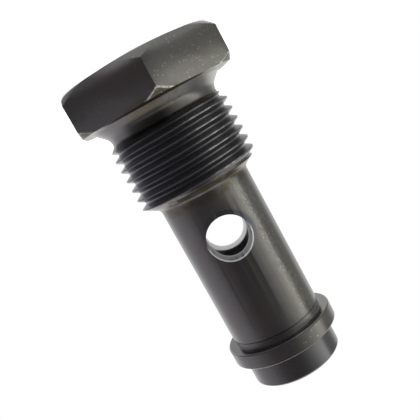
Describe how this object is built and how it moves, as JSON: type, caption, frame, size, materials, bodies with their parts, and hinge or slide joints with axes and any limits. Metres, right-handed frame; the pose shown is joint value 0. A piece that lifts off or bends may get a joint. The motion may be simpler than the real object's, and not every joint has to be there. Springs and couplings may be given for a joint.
{
  "type": "banjo bolt",
  "caption": "Hexagon-head hollow bolt with a threaded neck, a cross-drilled shank, a collar and a plain nose, for clamping a banjo fitting and passing fluid.",
  "frame": {"origin": "centre of the flat top of the hexagon head, which the bolt stands on", "axes": "+Z along the bolt's axis from the head to the nose; the cross hole runs along Y"},
  "size_m": [0.023, 0.0254, 0.0485],
  "materials": {
    "blackened_steel": "black oxide, oiled, satin"
  },
  "bodies": {
    "root": {"banjo_bolt": "blackened_steel"}
  },
  "joints": []
}
